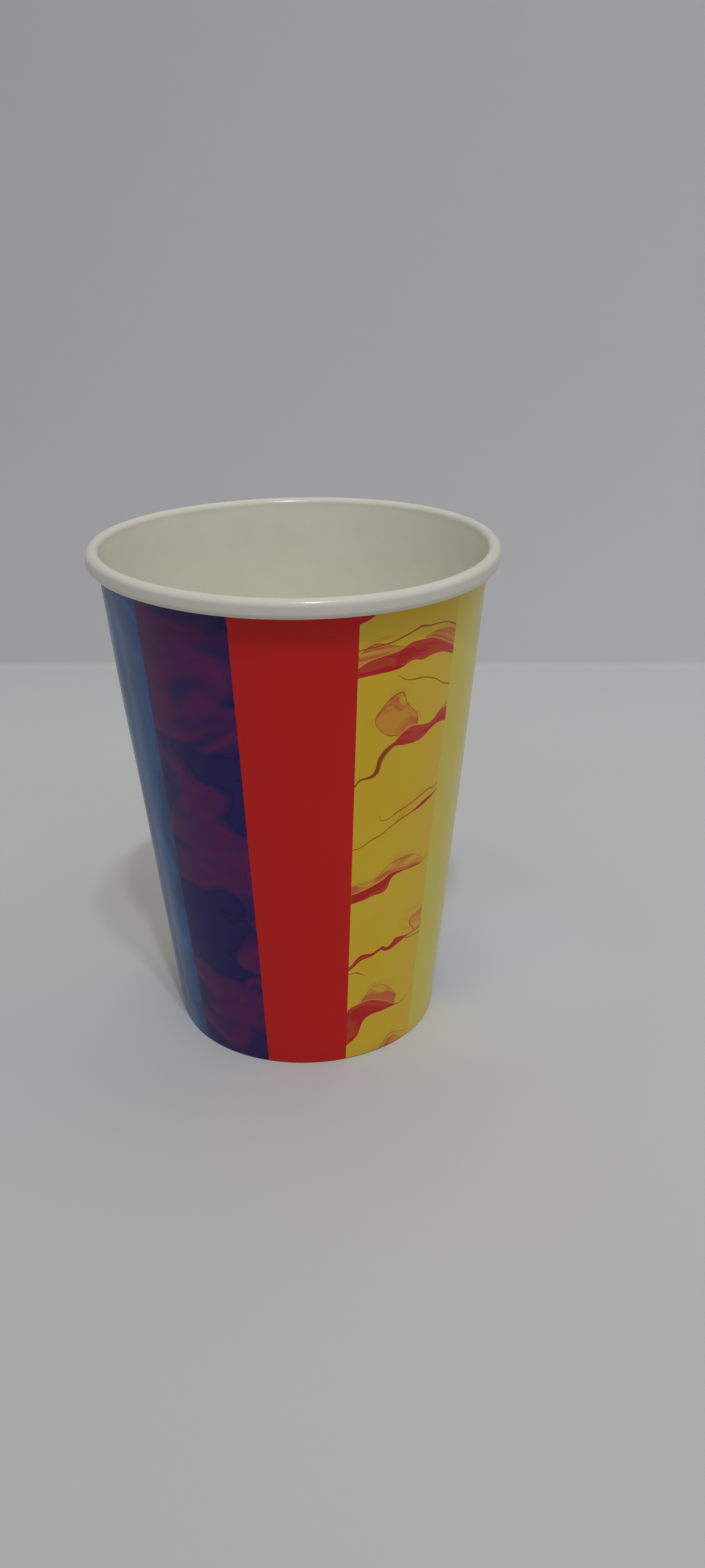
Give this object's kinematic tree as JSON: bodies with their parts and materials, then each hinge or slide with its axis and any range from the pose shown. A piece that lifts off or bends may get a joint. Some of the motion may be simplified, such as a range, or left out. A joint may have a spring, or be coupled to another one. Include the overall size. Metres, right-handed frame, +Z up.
{
  "type": "paper ice cream cup",
  "caption": "Tapered paper cup with a rolled rim, a lapped side seam and a recessed base, printed in vertical colour bands.",
  "frame": {"origin": "centre of the circle that the cup stands on", "axes": "+Z up along the cup's axis; -Y is the front, which faces the camera, and +X is to the right seen from the front"},
  "size_m": [0.09, 0.09, 0.1121],
  "materials": {
    "printed_board": "satin coated print",
    "plain_board": "coated, off-white"
  },
  "bodies": {
    "root": {"side_wall": "printed_board", "base_disc": "plain_board"}
  },
  "joints": []
}
